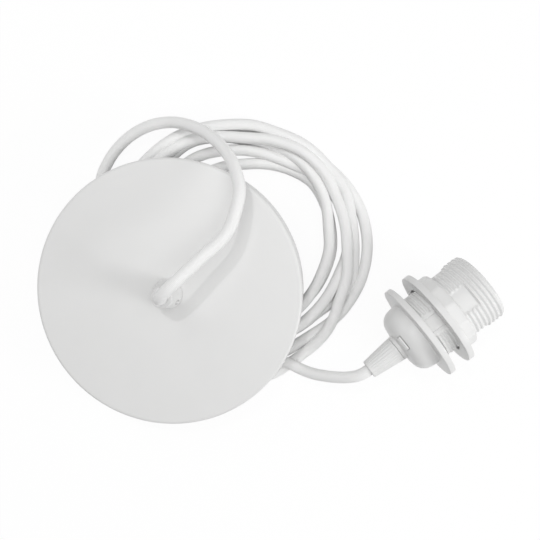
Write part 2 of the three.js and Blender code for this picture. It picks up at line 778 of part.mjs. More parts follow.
// Sprung tongue: flat on the carrier, rising to a crown on the axis
function centreContact() {
  const shape = new THREE.Shape();
  shape.moveTo(-TONGUE_REACH, 0);
  shape.lineTo(-TONGUE_BEND, 0);
  shape.lineTo(0, TONGUE_RISE);
  shape.lineTo(TONGUE_BEND, TONGUE_TIP);
  shape.lineTo(TONGUE_BEND, TONGUE_TIP + TONGUE_SHEET);
  shape.lineTo(0, TONGUE_RISE + TONGUE_SHEET);
  shape.lineTo(-TONGUE_BEND - TONGUE_SHEET / 2, TONGUE_SHEET);
  shape.lineTo(-TONGUE_REACH, TONGUE_SHEET);
  shape.closePath();
  const tongue = new THREE.ExtrudeGeometry(shape, { depth: TONGUE_WIDTH, bevelEnabled: false });
  return tongue.rotateX(Math.PI / 2).translate(0, TONGUE_WIDTH / 2, shellStart);
}

function terminalPost(side) {
  const headFront = carrierBack - GAP;
  const body = turned([
    [0, headFront - POST_HEAD_HEIGHT],
    [POST_HEAD_RADIUS, headFront - POST_HEAD_HEIGHT],
    [POST_HEAD_RADIUS, headFront],
    [POST_SHANK_RADIUS, headFront],
    [POST_SHANK_RADIUS, headFront + POST_SHANK_LENGTH],
    [0, headFront + POST_SHANK_LENGTH],
  ], SCREW_SEGMENTS);
  body.translate(POST_RISE, side * POST_OFFSET, 0);
  const slot = new THREE.BoxGeometry(POST_HEAD_RADIUS * 3, SLOT_WIDTH, 2 * SLOT_DEPTH);
  slot.translate(POST_RISE, side * POST_OFFSET, headFront - POST_HEAD_HEIGHT);
  return cut(body, slot);
}

function holderWire(side) {
  const y = side * POST_OFFSET;
  const route = vectors([
    [0, (side * CORE_SPACING) / 2, sheathEnd + GAP],
    [0, (side * CORE_SPACING) / 2, sheathEnd + GAP + CORE_LEAD],
    [0, side * 5, (sheathEnd + carrierBack) / 2],
    [0, y, carrierBack - 4],
    [0, y, carrierBack],
    [0, y, carrierBack + WIRE_ENTRY_DEPTH],
  ]);
  return tube(route, CORE_RADIUS, CORE_SIDES, 2.5);
}

holder.add(piece('holder_cord_grip', holderCordGrip(), WHITE_PLASTIC));
holder.add(piece('holder_collet', holderCollet(), GREY_PLASTIC));
holder.add(piece('holder_cap', holderCap(), WHITE_PLASTIC));
holder.add(piece('cap_latch', capLatch(), WHITE_PLASTIC));
holder.add(piece('holder_barrel', holderBarrel(), WHITE_PLASTIC));
holder.add(piece('shade_ring', shadeRing(), WHITE_PLASTIC));
holder.add(piece('contact_carrier', contactCarrier(), CERAMIC));
holder.add(piece('screw_shell', screwShell(), NICKEL));
holder.add(piece('centre_contact', centreContact(), BRASS));
holder.add(piece('holder_screw_live', terminalPost(-1), NICKEL));
holder.add(piece('holder_screw_neutral', terminalPost(1), NICKEL));
holder.add(piece('holder_wire_brown', holderWire(-1), BROWN));
holder.add(piece('holder_wire_blue', holderWire(1), BLUE));

const cordSet = new THREE.Group();
cordSet.name = 'pendant_cord_set';
cordSet.add(rose, holder);
cordSet.add(piece('cord_arch', cordArch(), TEXTILE));
cordSet.add(piece('cord_coil', cordCoil(), TEXTILE));
cordSet.add(piece('cord_tail', cordTail(), TEXTILE));

export default cordSet;
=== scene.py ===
"""The looks of the pendant cord set: its finishes, its braided cord, the studio and the camera."""
import json
from math import cos, pi, radians, sin

import bpy
import numpy as np
from mathutils import Matrix, Vector


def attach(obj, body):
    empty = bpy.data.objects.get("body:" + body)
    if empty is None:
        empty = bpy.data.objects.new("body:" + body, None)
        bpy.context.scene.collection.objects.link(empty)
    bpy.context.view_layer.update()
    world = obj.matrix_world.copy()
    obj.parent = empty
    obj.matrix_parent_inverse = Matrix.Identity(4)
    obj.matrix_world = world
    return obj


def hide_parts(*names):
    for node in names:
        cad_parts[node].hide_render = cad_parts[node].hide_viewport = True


MM = 0.001

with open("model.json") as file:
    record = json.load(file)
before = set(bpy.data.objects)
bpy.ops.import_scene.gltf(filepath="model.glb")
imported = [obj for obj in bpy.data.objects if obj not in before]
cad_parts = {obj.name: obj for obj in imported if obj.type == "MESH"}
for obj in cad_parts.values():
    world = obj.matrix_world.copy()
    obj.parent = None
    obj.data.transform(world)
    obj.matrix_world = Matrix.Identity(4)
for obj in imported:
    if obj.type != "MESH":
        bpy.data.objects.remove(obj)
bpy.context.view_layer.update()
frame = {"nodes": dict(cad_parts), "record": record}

# ---- sizes in millimetres and degrees ----

# Most are those of the solids. These are the scene's own: CORD_RADIUS, SHELL_RADIUS, NUT_LENGTH,
# DOME_RADIUS, FLANGE_BORE, RING_BORE, the turn and the depth of the thread, the ring's flats and
# the heights of the cord.

CORD_RADIUS = 3.2
CORD_BORE = 3.6
CORD_SIDES = 20
CORD_STEP = 2.0

ROSE_CENTRE = (-30.0, 28.1)
ROSE_TILT = 7.3
ROSE_UPHILL = 20.6
ROSE_RADIUS = 72.5
SHELL_RADIUS = 72.1
ROSE_DEPTH = 24.0
ROSE_WALL = 2.0
ROSE_EDGE = 2.0
STUD_RADIUS = 5.0
STUD_CLEARANCE = 0.3
STUD_END = 14.3
GRIP_BASE = 24.3
GRIP_TOP = 38.3
GRIP_BASE_RADIUS = 8.0
GRIP_TOP_RADIUS = 5.6
GRIP_LIP = 0.85
GRIP_WAIST_HEIGHT = 5.3
GRIP_WAIST_ROUNDING = 2.5
GRIP_THROAT = 1.5
SCREW_HOLE_RADIUS = 1.6
SCREW_HOLE_HEIGHT = 28.5
CORD_END_HEIGHT = 10.3

HOLDER_START = 28.1
HOLDER_AXIS_Y = -71.5
HOLDER_AXIS_Z = 27.7
HOLDER_TURN = -12.0
THREAD_TURN = 3.5
SHEATH_END = 22.1
NUT_LENGTH = 18.5
NUT_RADII = (5.1, 7.15)
NUT_BORE = 5.2
NUT_BORE_START = 9.5
NUT_CONE_START = 6.5
NUT_RIBS = 24
NUT_RIB_DEPTH = 0.25
NUT_RIB_MARGINS = (1.2, 1.0)
NUT_RIB_FADE = 0.8
NECK_BORE = 4.25
NECK_RADIUS = 4.9
NECK_START = 11.7
COLLAR_RADIUS = 7.25
COLLAR_START = 18.6
DOME_START = 20.6
DOME_RADIUS = 18.85
DOME_SQUARENESS = 2.8
DOME_WALL = 2.2
RIM_RADIUS = 27.7
FLANGE_BACK = 32.6
FLANGE_FRONT = 36.0
FLANGE_BORE = 19.0
SOCKET_BORE = 16.5
SEAT_RECESS = 0.6
LATCH_WIDTH = 8.4
LATCH_FLOOR = 12.7
LATCH_SPAN = (20.8, 23.2)
BARREL_RADIUS = 18.6
BARREL_BORE = 15.0
BARREL_START = 36.3
BARREL_END = 75.7
SEAT = 38.2
SEAT_BORE = 13.5
SKIRT_RADIUS = 16.2
SKIRT_START = 28.8
THREAD_RADIUS = 19.85
THREAD_PITCH = 2.55
THREAD_SECTORS = 4
THREAD_ARC = 51.4
THREAD_FULL_TURNS = 3
THREAD_PHASE = 180 / 28
THREAD_MEAN = 0.7
THREAD_SWING = 0.3
THREAD_START_GAP = 1.2
THREAD_START_RAMP = 0.6
THREAD_FULL_RAMP = 0.9
THREAD_SECTOR_RAMP = 3.0
MOUTH_PLAIN = 2.5
MOUTH_INSET = 0.1
BARREL_ROWS = 200
BARREL_COLUMNS = 392
PANEL_WIDTH = 7.6
PANEL_END = 45.5
PANEL_DEPTH = 0.9
PANEL_EDGE = 0.004
RING_BORE = 20.0
RING_BACK = 44.8
RING_FRONT = 48.4
RING_END = 55.6
RING_COLLAR_RADIUS = 22.1
RING_CHAMFER = 0.9
RING_FLATS = 12
RING_FLATS_TURN = 3.0
RING_FLATS_RISE = 0.15

# ---- the photograph's camera ----

CAMERA_OVER = (18.38, 4.0)
CAMERA_HEIGHT = 380.0
CAMERA_ROLL = -37.4
FOCAL_PIXELS = 650.0
FRAME_PIXELS = 540.0
SENSOR = 36.0


def rose_frame():
    """The rose's own frame: its rim circle's centre and plane, tilted onto the coil."""
    turn = Matrix.Rotation(radians(ROSE_UPHILL), 4, "Z") @ Matrix.Rotation(
        -radians(ROSE_TILT), 4, "Y"
    )
    rise = ROSE_RADIUS * sin(radians(ROSE_TILT))
    return Matrix.Translation((*ROSE_CENTRE, rise)) @ turn


def add_camera():
    """The photograph's camera, straight above the set and rolled."""
    data = bpy.data.cameras.new("camera")
    data.sensor_width = SENSOR
    data.lens = SENSOR * FOCAL_PIXELS / FRAME_PIXELS
    data.clip_start = 0.01
    camera = bpy.data.objects.new("camera", data)
    camera.location = (CAMERA_OVER[0] * MM, CAMERA_OVER[1] * MM, CAMERA_HEIGHT * MM)
    camera.rotation_euler = (0, 0, radians(CAMERA_ROLL))
    bpy.context.scene.collection.objects.link(camera)
    bpy.context.scene.camera = camera


# ---- the cord's route ----

ARCH_ROUTE = [
    (-34.9, 26.2, 51.2), (-32.9, 26.2, 60.4), (-24.2, 27.0, 65.4), (-14.3, 28.0, 65.5),
    (-3.7, 29.1, 64.5), (6.6, 29.9, 63.0), (14.3, 32.0, 61.5), (23.1, 37.7, 60.0),
    (30.5, 44.6, 58.0), (34.1, 51.9, 54.5), (36.9, 61.8, 48.0), (37.3, 72.9, 39.5),
    (35.4, 84.2, 31.0), (31.0, 94.5, 23.5), (24.4, 103.1, 17.5), (14.7, 109.5, 13.5),
    (3.2, 112.9, 9.5), (-9.4, 112.8, 5.8), (-18.7, 110.1, 4.2), (-26.6, 105.6, 3.7),
    (-39.7, 91.7, 3.7), (-49.5, 75.8, 3.7), (-55.6, 59.0, 3.7), (-58.8, 48.4, 3.7),
]
TAIL_LEAD = [(-13.5, -38.3, 4.6), (-9.5, -40.7, 6.2), (-6.4, -43.4, 8.4)]
TAIL_ROUTE = [
    (-4.4, -46.4, 10.4), (-0.6, -53.2, 12.2), (2.6, -57.4, 14.7), (6.8, -61.4, 18.0),
    (11.6, -65.3, 21.4), (16.7, -68.6, 24.6), (21.8, -70.8, 26.8), (26.6, -71.5, 27.6),
]
COIL_CENTRE = (13.9, 22.0)

# The stations of each turn: the angle about the coil's centre, which runs anticlockwise in the
# picture, the distance from that centre and the height.
COIL_TURNS = [
    [
        (210, 76.6, 3.3), (240, 76.3, 3.3), (270, 75.5, 3.3), (283, 73.2, 3.5), (292, 70.2, 4.6),
        (300, 68.3, 5.6), (308, 67.3, 6.9), (315, 66.0, 8.2), (323, 63.9, 9.4), (330, 61.7, 9.7),
        (345, 60.2, 9.7), (0, 58.5, 9.7), (15, 59.1, 9.7), (30, 60.3, 9.8), (45, 63.0, 11.4),
        (60, 64.3, 12.6), (75, 64.0, 11.6), (90, 63.8, 9.7), (105, 66.6, 9.6), (120, 70.2, 9.6),
        (150, 71.0, 9.6), (180, 65.0, 9.6),
    ],
    [
        (210, 61.2, 4.3), (240, 62.8, 3.3), (270, 63.0, 3.3), (285, 63.2, 3.3), (293, 62.9, 3.3),
        (300, 62.2, 3.3), (307, 62.4, 3.3), (315, 63.7, 3.3), (322, 65.2, 3.3), (330, 66.8, 3.3),
        (345, 69.3, 3.3), (0, 70.8, 3.3), (15, 71.1, 3.3), (30, 69.9, 3.3), (45, 68.1, 3.3),
        (60, 67.8, 3.3), (90, 69.6, 3.3), (120, 72.8, 3.3), (150, 71.8, 4.0), (180, 69.4, 8.6),
    ],
    [
        (210, 62.8, 9.8), (240, 56.2, 5.0), (270, 54.9, 3.3), (300, 54.0, 3.3), (310, 54.6, 3.3),
        (318, 55.3, 3.3), (325, 57.2, 3.3), (331, 59.8, 3.3), (338, 62.4, 3.3), (345, 63.9, 3.3),
        (0, 63.2, 3.3), (15, 63.8, 5.2), (30, 66.6, 8.8), (45, 67.0, 9.3), (60, 68.7, 9.4),
        (75, 69.3, 9.3), (90, 71.4, 9.3), (120, 75.0, 9.3), (150, 76.3, 9.0), (180, 75.4, 9.4),
    ],
    [
        (210, 69.3, 9.9), (240, 60.0, 9.9), (270, 53.8, 9.7), (300, 52.9, 9.6), (315, 53.4, 9.3),
        (330, 54.3, 8.2), (345, 56.0, 5.6), (0, 59.4, 3.3), (15, 60.0, 3.3), (30, 60.8, 3.3),
        (45, 58.8, 4.2), (60, 56.2, 5.8), (90, 57.4, 5.5), (120, 60.4, 4.5), (150, 57.6, 3.3),
        (180, 53.5, 3.3),
    ],
    [
        (210, 48.8, 3.3), (240, 47.6, 3.3), (270, 46.0, 3.3), (300, 45.0, 3.3), (315, 45.2, 3.3),
        (330, 46.3, 3.3), (345, 47.9, 3.3), (0, 50.0, 3.3), (15, 51.3, 3.3), (30, 53.4, 3.3),
        (45, 55.0, 3.3), (60, 53.4, 3.3), (75, 51.5, 3.3), (90, 49.8, 3.3), (105, 49.8, 3.3),
        (120, 49.3, 3.3), (150, 46.5, 3.3), (180, 45.4, 3.5),
    ],
    [
        (210, 43.4, 5.5), (240, 43.9, 8.6), (270, 44.4, 9.0), (300, 45.1, 9.2), (315, 45.3, 9.4),
        (330, 45.5, 9.4), (345, 46.2, 9.4), (0, 48.1, 9.5), (15, 49.5, 9.6), (30, 53.4, 9.6),
        (45, 57.0, 9.4), (60, 60.0, 8.4), (75, 62.2, 5.3), (90, 64.0, 3.4), (105, 67.6, 3.3),
        (120, 69.8, 3.3), (150, 66.6, 3.3), (180, 67.6, 3.3),
    ],
    [(210, 69.4, 3.3), (240, 69.2, 3.3), (270, 68.4, 3.6)],
]


def coil_points():
    """The coil's stations as points in millimetres."""
    points = []
    for angle, radius, height in (station for turn in COIL_TURNS for station in turn):
        a = radians(angle + CAMERA_ROLL)
        points.append((COIL_CENTRE[0] + radius * cos(a), COIL_CENTRE[1] + radius * sin(a), height))
    return points


def smooth_line(points, step):
    """Points about a step apart on the centripetal Catmull-Rom curve through the given ones."""
    p = np.array(points, float)
    p = np.vstack([2 * p[0] - p[1], p, 2 * p[-1] - p[-2]])
    knots = np.concatenate([[0], np.cumsum(np.linalg.norm(np.diff(p, axis=0), axis=1) ** 0.5)])
    line = []
    for i in range(1, len(p) - 2):
        count = max(2, round(np.linalg.norm(p[i + 1] - p[i]) / step))
        t = np.linspace(knots[i], knots[i + 1], count, endpoint=False)[:, None]
        t0, t1, t2, t3 = knots[i - 1 : i + 3]
        a1 = (t1 - t) / (t1 - t0) * p[i - 1] + (t - t0) / (t1 - t0) * p[i]
        a2 = (t2 - t) / (t2 - t1) * p[i] + (t - t1) / (t2 - t1) * p[i + 1]
        a3 = (t3 - t) / (t3 - t2) * p[i + 1] + (t - t2) / (t3 - t2) * p[i + 2]
        b1 = (t2 - t) / (t2 - t0) * a1 + (t - t0) / (t2 - t0) * a2
        b2 = (t3 - t) / (t3 - t1) * a2 + (t - t1) / (t3 - t1) * a3
        line.append((t2 - t) / (t2 - t1) * b1 + (t - t1) / (t2 - t1) * b2)
    return np.vstack([*line, p[-2:-1]])


def tube(name, line, radius, sides, material):
    """A closed tube along a line in millimetres, with its length and turn in millimetres as UVs."""
    tangents = np.gradient(line, axis=0)
    tangents /= np.linalg.norm(tangents, axis=1)[:, None]
    normal = np.cross(tangents[0], (0.0, 0.0, 1.0))
    if np.linalg.norm(normal) < 0.1:
        normal = np.cross(tangents[0], (1.0, 0.0, 0.0))
    along = np.concatenate([[0], np.cumsum(np.linalg.norm(np.diff(line, axis=0), axis=1))])
    turn = np.linspace(0, 2 * pi, sides, endpoint=False)
    vertices = []
    for point, tangent in zip(line, tangents):
        normal = normal - tangent * normal.dot(tangent)
        normal /= np.linalg.norm(normal)
        side = np.cross(tangent, normal)
        ring = np.outer(np.cos(turn), normal) + np.outer(np.sin(turn), side)
        vertices.append(point + radius * ring)
    vertices = np.vstack(vertices) * MM
    faces, uvs = [], []
    width = 2 * pi * radius / sides
    for i in range(len(line) - 1):
        for j in range(sides):
            k = (j + 1) % sides
            faces.append((i * sides + j, i * sides + k, (i + 1) * sides + k, (i + 1) * sides + j))
            uvs += [
                (along[i], j * width),
                (along[i], (j + 1) * width),
                (along[i + 1], (j + 1) * width),
                (along[i + 1], j * width),
            ]
    last = (len(line) - 1) * sides
    faces += [tuple(range(sides))[::-1], tuple(range(last, last + sides))]
    uvs += [(0.0, 0.0)] * (2 * sides)
    mesh = bpy.data.meshes.new(name)
    mesh.from_pydata(vertices.tolist(), [], faces)
    layer = mesh.uv_layers.new(name="cord")
    layer.data.foreach_set("uv", np.array(uvs, float).ravel())
    mesh.polygons.foreach_set("use_smooth", [True] * len(faces))
    mesh.materials.append(material)
    mesh.update()
    piece = bpy.data.objects.new(name, mesh)
    bpy.context.scene.collection.objects.link(piece)
    return piece


# ---- finishes ----

BLOTCHES_PER_METRE = 60.0
BLOTCH_RANGE = (0.35, 0.65)
GRAIN_STRENGTH = 0.35
GLOSS_SPREAD = 0.05
BRAID_ROUGHNESS = 0.75
BRAID_SHEEN = 0.25
BRAID_SHEEN_ROUGHNESS = 0.5
# Painted shade on the braid: the colour's scale in the weave's hollows and on its raised crossings.
BRAID_PAINTED_SHADE = (0.92, 1.05)


def new_material(name, colour, roughness, **sockets):
    """A shader's sockets are written with underscores for the spaces in their names."""
    material = bpy.data.materials.new(name)
    material.use_nodes = True
    shader = material.node_tree.nodes["Principled BSDF"]
    shader.inputs["Base Color"].default_value = (*colour, 1)
    shader.inputs["Roughness"].default_value = roughness
    for socket, value in sockets.items():
        shader.inputs[socket.replace("_", " ")].default_value = value
    return material


def add_node(tree, kind, operation=None, **inputs):
    """A node of a kind. An input's name is written with underscores for its spaces."""
    node = tree.nodes.new(kind)
    if operation:
        node.operation = operation
    for name, value in inputs.items():
        node.inputs[name.replace("_", " ")].default_value = value
    return node


def tinted(tree, shader, colour, value, **span):
    """Scales a colour by a value that is mapped onto a span, for a shader's base colour."""
    tone = add_node(tree, "ShaderNodeMapRange", **span)
    shade = add_node(tree, "ShaderNodeVectorMath", "SCALE")
    shade.inputs[0].default_value = colour
    tree.links.new(value, tone.inputs["Value"])
    tree.links.new(tone.outputs["Result"], shade.inputs["Scale"])
    tree.links.new(shade.outputs["Vector"], shader.inputs["Base Color"])


def raised(tree, shader, height, strength, depth):
    """Bumps a shader's surface by a height between 0 and 1, to a depth in millimetres."""
    bump = add_node(tree, "ShaderNodeBump", Strength=strength, Distance=depth * MM)
    tree.links.new(height, bump.inputs["Height"])
    tree.links.new(bump.outputs["Normal"], shader.inputs["Normal"])


def moulded(name, colour, roughness, grain, depth, mottle=0.02, **sockets):
    """Moulded or painted surfaces: a grain of a size and depth in millimetres, and a colour and
    gloss that vary a little."""
    material = new_material(name, colour, roughness, **sockets)
    tree = material.node_tree
    shader = tree.nodes["Principled BSDF"]
    place = add_node(tree, "ShaderNodeTexCoord")
    fine = add_node(tree, "ShaderNodeTexNoise", Scale=1 / (grain * MM), Detail=3.0)
    broad = add_node(tree, "ShaderNodeTexNoise", Scale=BLOTCHES_PER_METRE, Detail=4.0)
    for texture in (fine, broad):
        tree.links.new(place.outputs["Object"], texture.inputs["Vector"])
    raised(tree, shader, fine.outputs["Fac"], GRAIN_STRENGTH, depth)
    low, high = BLOTCH_RANGE
    span = {"From_Min": low, "From_Max": high, "To_Min": 1 - mottle, "To_Max": 1 + mottle}
    tinted(tree, shader, colour, broad.outputs["Fac"], **span)
    gloss = add_node(
        tree, "ShaderNodeMapRange", To_Min=roughness - GLOSS_SPREAD, To_Max=roughness + GLOSS_SPREAD
    )
    tree.links.new(broad.outputs["Fac"], gloss.inputs["Value"])
    tree.links.new(gloss.outputs["Result"], shader.inputs["Roughness"])
    return material


def braided(name, colour, pitch, depth):
    """A fine tubular braid: two sets of strands wound opposite ways, over and under, with a pitch
    and depth in millimetres. Its colour carries painted shade: darker in the weave's hollows,
    lighter on its crossings."""
    material = new_material(
        name,
        colour,
        BRAID_ROUGHNESS,
        Sheen_Weight=BRAID_SHEEN,
        Sheen_Roughness=BRAID_SHEEN_ROUGHNESS,
    )
    tree = material.node_tree
    shader = tree.nodes["Principled BSDF"]
    place = add_node(tree, "ShaderNodeUVMap")
    place.uv_map = "cord"
    split = add_node(tree, "ShaderNodeSeparateXYZ")
    tree.links.new(place.outputs["UV"], split.inputs["Vector"])

    def maths(operation, *values):
        node = add_node(tree, "ShaderNodeMath", operation)
        for socket, value in zip(node.inputs, values):
            if hasattr(value, "links"):
                tree.links.new(value, socket)
            else:
                socket.default_value = value
        return node.outputs[0]

    turns = 2 * pi / pitch
    along = maths("MULTIPLY", split.outputs["X"], turns)
    around = maths("MULTIPLY", split.outputs["Y"], turns)
    one = maths("SINE", maths("ADD", along, around))
    other = maths("SINE", maths("SUBTRACT", along, around))
    weave = maths("MULTIPLY", one, other)
    raised(tree, shader, maths("MULTIPLY_ADD", weave, 0.5, 0.5), 1.0, depth)
    # Painted shade and highlight: the colour follows the weave's height, darker in its hollows and
    # lighter on its crossings.
    low, high = BRAID_PAINTED_SHADE
    tinted(tree, shader, colour, weave, From_Min=-1.0, To_Min=low, To_Max=high)
    return material


FINISHES = {
    "white_paint": moulded("white_paint", (0.755, 0.755, 0.75), 0.42, 0.7, 0.02, 0.005),
    "white_plastic": moulded("white_plastic", (0.75, 0.75, 0.745), 0.36, 0.9, 0.008, 0.006),
    "grey_plastic": moulded("grey_plastic", (0.52, 0.52, 0.50), 0.45, 0.6, 0.02),
    "textile": braided("textile", (0.89, 0.89, 0.885), 1.2, 0.10),
    "ceramic": moulded("ceramic", (0.76, 0.73, 0.66), 0.6, 0.5, 0.03),
    "brass": moulded("brass", (0.72, 0.55, 0.24), 0.3, 0.4, 0.006, Metallic=1.0),
    "nickel": moulded("nickel", (0.66, 0.65, 0.62), 0.26, 0.4, 0.006, Metallic=1.0),
    "brown_insulation": moulded("brown_insulation", (0.16, 0.07, 0.03), 0.4, 0.6, 0.01),
    "blue_insulation": moulded("blue_insulation", (0.03, 0.15, 0.42), 0.4, 0.6, 0.01),
}

for entry in frame["record"]["subparts"]:
    solid = frame["nodes"][entry["node"]]
    solid.data.materials.clear()
    solid.data.materials.append(FINISHES[entry["material_slot"]])

# ---- the cord ----

rose = rose_frame()
start = [rose @ Vector((0, 0, height)) for height in (CORD_END_HEIGHT, GRIP_BASE, GRIP_TOP)]
end = [(HOLDER_START + a, HOLDER_AXIS_Y, HOLDER_AXIS_Z) for a in (0, SHEATH_END / 2, SHEATH_END)]
route = [*start, *ARCH_ROUTE, *coil_points(), *TAIL_LEAD, *TAIL_ROUTE, *end]
cord_line = smooth_line(route, CORD_STEP)
cord_line[:, 2] = np.maximum(cord_line[:, 2], CORD_RADIUS)

cord = tube("cord", cord_line, CORD_RADIUS, CORD_SIDES, FINISHES["textile"])
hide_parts("cord_arch", "cord_coil", "cord_tail")
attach(cord, "set")


# ---- smooth shells in place of the faceted ones ----


def even_turns(count):
    """Angles around a full turn."""
    return [2 * pi * i / count for i in range(count)]


def ramp(value):
    """A value held between 0 and 1."""
    return min(1.0, max(0.0, value))


def rounded(corners, steps=4):
    """A closed profile whose (radius, height, rounding) corners are rounded off."""
    profile = []
    count = len(corners)
    for i, corner in enumerate(corners):
        here = Vector(corner[:2])
        size = corner[2] if len(corner) > 2 else 0.0
        if not size:
            profile.append(tuple(here))
            continue
        before, after = Vector(corners[i - 1][:2]), Vector(corners[(i + 1) % count][:2])
        a = here + (before - here).normalized() * size
        b = here + (after - here).normalized() * size
        for step in range(steps + 1):
            t = step / steps
            profile.append(tuple(a * (1 - t) ** 2 + here * (2 * t * (1 - t)) + b * t * t))
    return profile


def turned(name, profile, turns, place, material, shape=None):
    """A closed profile turned about a frame's own Z axis. shape gives a radius from the angle,
    the radius and the height."""
    rows, columns = len(profile), len(turns)
    vertices = []
    for radius, height in profile:
        for turn in turns:
            r = shape(turn, radius, height) if shape else radius
            vertices.append(place @ Vector((r * cos(turn), r * sin(turn), height)) * MM)
    faces = []
    for i in range(rows):
        j = (i + 1) % rows
        for a in range(columns):
            b = (a + 1) % columns
            faces.append((i * columns + a, i * columns + b, j * columns + b, j * columns + a))
    mesh = bpy.data.meshes.new(name)
    mesh.from_pydata(vertices, [], faces)
    mesh.materials.append(material)
    piece = bpy.data.objects.new(name, mesh)
    bpy.context.scene.collection.objects.link(piece)
    return piece


def cutter(corners, faces):
    """A closed mesh that another is carved with."""
    mesh = bpy.data.meshes.new("cutter")
    mesh.from_pydata(corners, [], faces)
    tool = bpy.data.objects.new("cutter", mesh)
    bpy.context.scene.collection.objects.link(tool)
    return tool


def block(low, high, place):
    """A cutter with square corners, from its low to its high corner in a frame."""
    corners = [
        place @ Vector((x, y, z)) * MM
        for x in (low[0], high[0])
        for y in (low[1], high[1])
        for z in (low[2], high[2])
    ]
    faces = [(0, 1, 3, 2), (4, 6, 7, 5), (0, 4, 5, 1), (2, 3, 7, 6), (0, 2, 6, 4), (1, 5, 7, 3)]
    return cutter(corners, faces)


def rod(radius, start, end, place, sides=32):
    """A round cutter from start to end along a frame's own -Y axis."""
    turns = even_turns(sides)
    corners = [
        place @ Vector((radius * cos(t), -y, radius * sin(t))) * MM
        for y in (start, end)
        for t in turns
    ]
    faces = [(i, (i + 1) % sides, sides + (i + 1) % sides, sides + i) for i in range(sides)]
    faces += [tuple(range(sides))[::-1], tuple(range(sides, 2 * sides))]
    return cutter(corners, faces)


def carve(piece, tool):
    """Cuts a tool out of a piece for good."""
    modifier = piece.modifiers.new("cut", "BOOLEAN")
    modifier.operation = "DIFFERENCE"
    modifier.solver = "EXACT"
    modifier.object = tool
    view = bpy.context.evaluated_depsgraph_get()
    view.update()
    mesh = bpy.data.meshes.new_from_object(piece.evaluated_get(view))
    old = piece.data
    piece.modifiers.clear()
    piece.data = mesh
    bpy.data.meshes.remove(old)
    mesh.name = piece.name
    bpy.data.objects.remove(tool)


def settle(piece, node, body, angle=32):
    """Shades a piece smooth up to an angle and lets it stand for a CAD node."""
    mesh = piece.data
    mesh.update()
    mesh.polygons.foreach_set("use_smooth", [True] * len(mesh.polygons))
    mesh.set_sharp_from_angle(angle=radians(angle))
    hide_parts(node)
    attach(piece, body)


def holder_frame():
    """The lamp holder's own frame: Z along its axis, X up, rolled a little."""
    axes = Matrix(((0, 0, 1, 0), (0, -1, 0, 0), (1, 0, 0, 0), (0, 0, 0, 1)))
    centre = Matrix.Translation((HOLDER_START, HOLDER_AXIS_Y, HOLDER_AXIS_Z))
    return centre @ axes @ Matrix.Rotation(radians(HOLDER_TURN), 4, "Z")


def rose_shell():
    """The ceiling rose's cup."""
    inside = SHELL_RADIUS - ROSE_WALL
    steps = 10
    edge = [
        (
            SHELL_RADIUS - ROSE_EDGE + ROSE_EDGE * cos(pi / 2 * i / steps),
            ROSE_DEPTH - ROSE_EDGE + ROSE_EDGE * sin(pi / 2 * i / steps),
        )
        for i in range(steps + 1)
    ]
    hole = STUD_RADIUS + STUD_CLEARANCE
    profile = rounded(
        [
            (inside, 0, 0.3), (SHELL_RADIUS, 0, 0.3), *edge,
            (hole, ROSE_DEPTH), (hole, ROSE_DEPTH - ROSE_WALL),
            (inside, ROSE_DEPTH - ROSE_WALL, 1.0),
        ]
    )
    return turned("rose_shell", profile, even_turns(240), rose, FINISHES["white_paint"])


def rose_grip():
    """The tapered sleeve that the cord comes out of, with the set screw's hole in its side."""
    middle = (GRIP_BASE_RADIUS + GRIP_TOP_RADIUS) / 2
    profile = rounded(
        [
            (CORD_BORE, STUD_END), (STUD_RADIUS, STUD_END, 0.3), (STUD_RADIUS, GRIP_BASE),
            (GRIP_BASE_RADIUS, GRIP_BASE, 0.25), (GRIP_BASE_RADIUS, GRIP_BASE + GRIP_LIP, 0.3),
            (middle, GRIP_BASE + GRIP_WAIST_HEIGHT, GRIP_WAIST_ROUNDING),
            (GRIP_TOP_RADIUS, GRIP_TOP - GRIP_LIP, 0.3), (GRIP_TOP_RADIUS - 0.1, GRIP_TOP, 0.5),
            (CORD_RADIUS, GRIP_TOP, 0.3), (CORD_RADIUS, GRIP_TOP - GRIP_THROAT),
        ]
    )
    piece = turned("rose_grip", profile, even_turns(96), rose, FINISHES["white_plastic"])
    hole = rose @ Matrix.Translation((0, 0, SCREW_HOLE_HEIGHT))
    carve(piece, rod(SCREW_HOLE_RADIUS, CORD_BORE / 2, GRIP_BASE_RADIUS + 1, hole))
    return piece


def grip_nut():
    """The ribbed tapered nut where the cord enters the lamp holder."""
    small, large = NUT_RADII
    profile = rounded(
        [
            (CORD_BORE, 0, 0.3), (small, 0, 0.5), (large, NUT_LENGTH, 0.45),
            (NUT_BORE, NUT_LENGTH), (NUT_BORE, NUT_BORE_START), (CORD_BORE, NUT_CONE_START),
        ]
    )
    low, high = NUT_RIB_MARGINS

    def ribs(turn, radius, height):
        skin = small + (large - small) * height / NUT_LENGTH
        if radius <= skin - 0.3:
            return radius
        start = ramp((height - low) / NUT_RIB_FADE)
        end = ramp((NUT_LENGTH - high - height) / NUT_RIB_FADE)
        wave = (0.5 - 0.5 * cos(NUT_RIBS * turn)) ** 1.5
        return radius - NUT_RIB_DEPTH * wave * min(start, end)

    divided = []
    steps = 24
    for a, b in zip(profile, profile[1:] + profile[:1]):
        divided.append(a)
        if b[1] - a[1] > NUT_LENGTH / 2:
            for t in (i / steps for i in range(1, steps)):
                divided.append((a[0] + (b[0] - a[0]) * t, a[1] + (b[1] - a[1]) * t))
    turns = even_turns(NUT_RIBS * 8)
    return turned("grip_nut", divided, turns, holder, FINISHES["white_plastic"], ribs)


def dome_curve(start_radius, end_radius, start, end, steps):
    """A quarter of a squarish oval, from its flat start to its steep end."""
    power = 2 / DOME_SQUARENESS
    return [
        (
            start_radius + (end_radius - start_radius) * sin(pi / 2 * i / steps) ** power,
            start + (end - start) * (1 - max(0.0, cos(pi / 2 * i / steps)) ** power),
        )
        for i in range(steps + 1)
    ]


